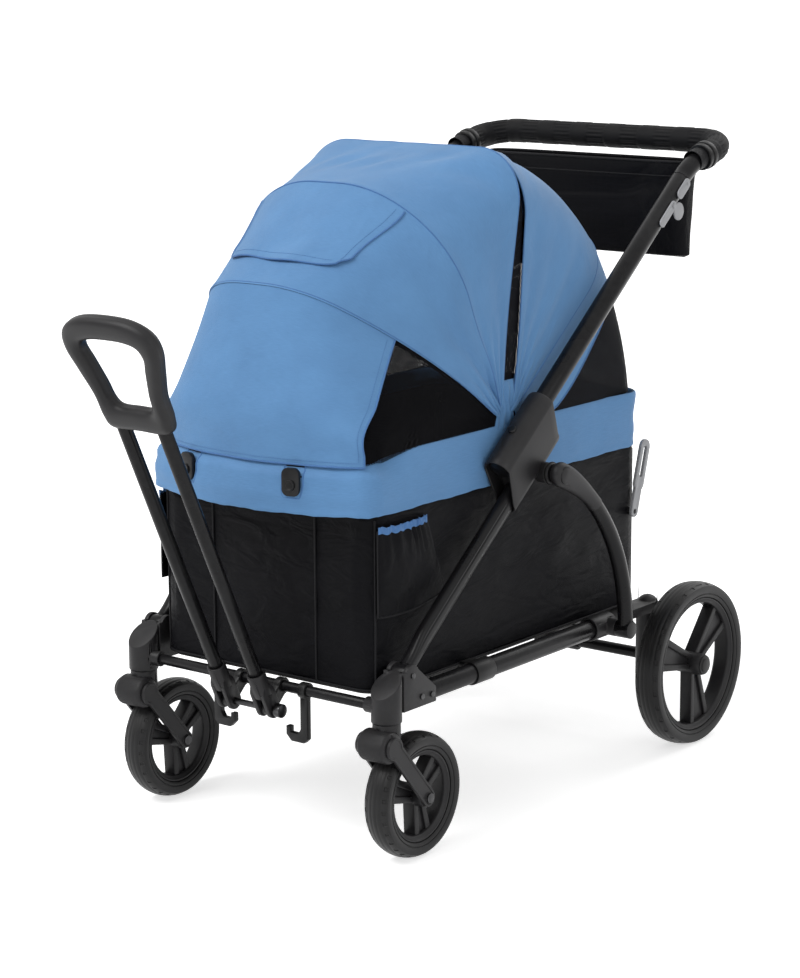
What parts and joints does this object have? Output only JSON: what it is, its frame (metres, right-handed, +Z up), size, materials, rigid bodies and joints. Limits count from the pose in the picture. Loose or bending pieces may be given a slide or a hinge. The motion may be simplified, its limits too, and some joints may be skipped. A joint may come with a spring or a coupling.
{
  "type": "stroller wagon",
  "caption": "Folding stroller wagon: a deep fabric basket on a wheeled tube frame with folding canopies, a push handle, a pull handle and swivelling sprung front wheels.",
  "frame": {"origin": "on the ground under the middle of the wagon's box", "axes": "+X to the side, +Y to the rear where the push handle is, +Z up"},
  "size_m": [0.632, 1.361, 1.0756],
  "materials": {
    "black_tube": "semi-gloss black",
    "steel": "plated",
    "charcoal_plastic": "satin",
    "grey_plastic": "satin",
    "black_cloth": "woven",
    "blue_cloth": "woven",
    "tyre": "satin",
    "foam": "matt foam"
  },
  "bodies": {
    "chassis": {"side_rail_left": "black_tube", "side_rail_right": "black_tube", "front_bracket_left": "charcoal_plastic", "front_bracket_right": "charcoal_plastic", "front_cross_tube": "black_tube", "rear_axle": "black_tube", "rear_bracket_left": "charcoal_plastic", "rear_bracket_right": "charcoal_plastic", "rail_collars": "charcoal_plastic", "floor_board": "charcoal_plastic", "basket_fabric": "black_cloth", "side_pockets": "black_cloth", "seat_pads": "black_cloth", "pull_mount": "charcoal_plastic", "pull_pin": "steel", "chassis_bolts": "steel"},
    "brake": {"brake_pedal": "charcoal_plastic"},
    "pull_handle": {"pull_yokes": "charcoal_plastic", "pull_tubes": "black_tube", "pull_grip": "charcoal_plastic"},
    "legs": {"front_legs": "black_tube"},
    "sleeves": {"hub_sleeves": "charcoal_plastic"},
    "buttons": {"sleeve_buttons": "charcoal_plastic"},
    "push_handle": {"push_tubes": "black_tube", "push_grip": "foam", "push_collars": "charcoal_plastic", "organiser_bag": "black_cloth", "trigger_plates": "grey_plastic"},
    "arches": {"rear_arches": "black_tube"},
    "rim": {"rim_frame": "black_tube", "rim_band": "blue_cloth", "front_clips": "charcoal_plastic", "mid_bows": "steel", "front_canopy": "blue_cloth", "rear_canopy": "blue_cloth"},
    "posts_lower": {"rear_posts_lower": "black_tube"},
    "posts_upper": {"rear_posts_upper": "black_tube"},
    "bow_two": {"front_bow_two": "steel"},
    "bow_three": {"front_bow_three": "steel"},
    "bow_rear": {"rear_bow": "steel"},
    "caster_left": {"caster_crown_left": "charcoal_plastic"},
    "arm_left": {"swing_arm_left": "charcoal_plastic", "front_axle_left": "steel"},
    "front_wheel_left": {"front_rim_left": "charcoal_plastic", "front_tyre_left": "tyre"},
    "rear_wheel_left": {"rear_rim_left": "charcoal_plastic", "rear_tyre_left": "tyre", "rear_hub_cap_left": "charcoal_plastic"},
    "trigger_left": {"trigger_left": "grey_plastic"},
    "lever_left": {"fold_lever_left": "grey_plastic"},
    "caster_right": {"caster_crown_right": "charcoal_plastic"},
    "arm_right": {"swing_arm_right": "charcoal_plastic", "front_axle_right": "steel"},
    "front_wheel_right": {"front_rim_right": "charcoal_plastic", "front_tyre_right": "tyre"},
    "rear_wheel_right": {"rear_rim_right": "charcoal_plastic", "rear_tyre_right": "tyre", "rear_hub_cap_right": "charcoal_plastic"},
    "trigger_right": {"trigger_right": "grey_plastic"},
    "lever_right": {"fold_lever_right": "grey_plastic"}
  },
  "joints": [
    {"name": "swivel_left", "type": "hinge", "parent": "chassis", "child": "caster_left", "pos_m": [-0.253, -0.32547, 0.233], "axis": [0, 0, 1], "continuous": true},
    {"name": "suspension_left", "type": "hinge", "parent": "caster_left", "child": "arm_left", "pos_m": [-0.253, -0.34447, 0.199], "axis": [1, 0, 0], "range_deg": [0, 8], "stiffness_Nm_per_rad": 60, "springref_deg": -5.73},
    {"name": "front_spin_left", "type": "hinge", "parent": "arm_left", "child": "front_wheel_left", "pos_m": [-0.253, -0.26047, 0.1], "axis": [1, 0, 0], "continuous": true},
    {"name": "rear_spin_left", "type": "hinge", "parent": "chassis", "child": "rear_wheel_left", "pos_m": [-0.28, 0.50953, 0.145], "axis": [1, 0, 0], "continuous": true},
    {"name": "trigger_left", "type": "hinge", "parent": "push_handle", "child": "trigger_left", "pos_m": [-0.2708, 0.44711, 0.95811], "axis": [1, 0, 0], "range_deg": [0, 12], "stiffness_Nm_per_rad": 0.2, "springref_deg": -14.32},
    {"name": "fold_lever_left", "type": "hinge", "parent": "posts_lower", "child": "lever_left", "pos_m": [-0.1976, 0.39753, 0.432], "axis": [1, 0, 0], "range_deg": [-35, 0], "stiffness_Nm_per_rad": 0.4, "springref_deg": 22.92},
    {"name": "swivel_right", "type": "hinge", "parent": "chassis", "child": "caster_right", "pos_m": [0.253, -0.32547, 0.233], "axis": [0, 0, 1], "continuous": true},
    {"name": "suspension_right", "type": "hinge", "parent": "caster_right", "child": "arm_right", "pos_m": [0.253, -0.34447, 0.199], "axis": [1, 0, 0], "range_deg": [0, 8], "stiffness_Nm_per_rad": 60, "springref_deg": -5.73},
    {"name": "front_spin_right", "type": "hinge", "parent": "arm_right", "child": "front_wheel_right", "pos_m": [0.253, -0.26047, 0.1], "axis": [1, 0, 0], "continuous": true},
    {"name": "rear_spin_right", "type": "hinge", "parent": "chassis", "child": "rear_wheel_right", "pos_m": [0.28, 0.50953, 0.145], "axis": [1, 0, 0], "continuous": true},
    {"name": "trigger_right", "type": "hinge", "parent": "push_handle", "child": "trigger_right", "pos_m": [0.2708, 0.44711, 0.95811], "axis": [1, 0, 0], "range_deg": [0, 12], "stiffness_Nm_per_rad": 0.2, "springref_deg": -14.32},
    {"name": "fold_lever_right", "type": "hinge", "parent": "posts_lower", "child": "lever_right", "pos_m": [0.1976, 0.39753, 0.432], "axis": [1, 0, 0], "range_deg": [-35, 0], "stiffness_Nm_per_rad": 0.4, "springref_deg": 22.92},
    {"name": "fold", "type": "hinge", "parent": "chassis", "child": "legs", "pos_m": [0, -0.28547, 0.3], "axis": [1, 0, 0], "range_deg": [-35, 0], "deforming": ["basket_fabric", "side_pockets", "seat_pads", "organiser_bag"]},
    {"name": "sleeve_slide", "type": "slide", "parent": "legs", "child": "sleeves", "axis": [0, 0.7826, 0.6225], "range_m": [-0.245, 0]},
    {"name": "arch_fold", "type": "hinge", "parent": "chassis", "child": "arches", "pos_m": [0, 0.26903, 0.26], "axis": [1, 0, 0], "range_deg": [0, 51.5]},
    {"name": "rim_drop", "type": "slide", "parent": "chassis", "child": "rim", "axis": [0, 0, 1], "range_m": [-0.211, 0]},
    {"name": "post_foot", "type": "hinge", "parent": "chassis", "child": "posts_lower", "pos_m": [0, 0.39753, 0.296], "axis": [1, 0, 0], "range_deg": [0, 88.5]},
    {"name": "post_knee", "type": "hinge", "parent": "posts_lower", "child": "posts_upper", "pos_m": [0, 0.39753, 0.432], "axis": [1, 0, 0], "range_deg": [-136.5, 0]},
    {"name": "handle_slide", "type": "slide", "parent": "sleeves", "child": "push_handle", "axis": [0, 0.7826, 0.6225], "range_m": [-0.12, 0]},
    {"name": "sleeve_button", "type": "slide", "parent": "sleeves", "child": "buttons", "axis": [0, 0.6225, -0.7826], "range_m": [0, 0.0025], "stiffness_N_per_m": 800, "springref_m": -0.002},
    {"name": "pull_handle", "type": "hinge", "parent": "chassis", "child": "pull_handle", "pos_m": [0, -0.35547, 0.224], "axis": [1, 0, 0], "range_deg": [-5, 60]},
    {"name": "brake", "type": "hinge", "parent": "chassis", "child": "brake", "pos_m": [0, 0.50953, 0.145], "axis": [1, 0, 0], "range_deg": [-18, 0]},
    {"name": "front_canopy", "type": "hinge", "parent": "rim", "child": "bow_three", "pos_m": [0, 0.02453, 0.64], "axis": [1, 0, 0], "range_deg": [-45, 0], "deforming": ["front_canopy"]},
    {"name": "front_canopy_middle", "type": "hinge", "parent": "rim", "child": "bow_two", "pos_m": [0, 0.02453, 0.64], "axis": [1, 0, 0], "range_deg": [-20.1, 0]},
    {"name": "rear_canopy", "type": "hinge", "parent": "rim", "child": "bow_rear", "pos_m": [0, 0.02453, 0.64], "axis": [1, 0, 0], "range_deg": [0, 28], "deforming": ["rear_canopy"]}
  ],
  "couplings": [
    {"joint": "sleeve_slide", "follows": "fold", "m_per_rad": 0.39911},
    {"joint": "arch_fold", "follows": "fold", "ratio": -1.4629},
    {"joint": "rim_drop", "follows": "fold", "m_per_rad": 0.34377},
    {"joint": "post_foot", "follows": "fold", "ratio": -2.5171},
    {"joint": "post_knee", "follows": "fold", "ratio": 3.8857},
    {"joint": "front_canopy_middle", "follows": "front_canopy", "ratio": 0.44444}
  ]
}
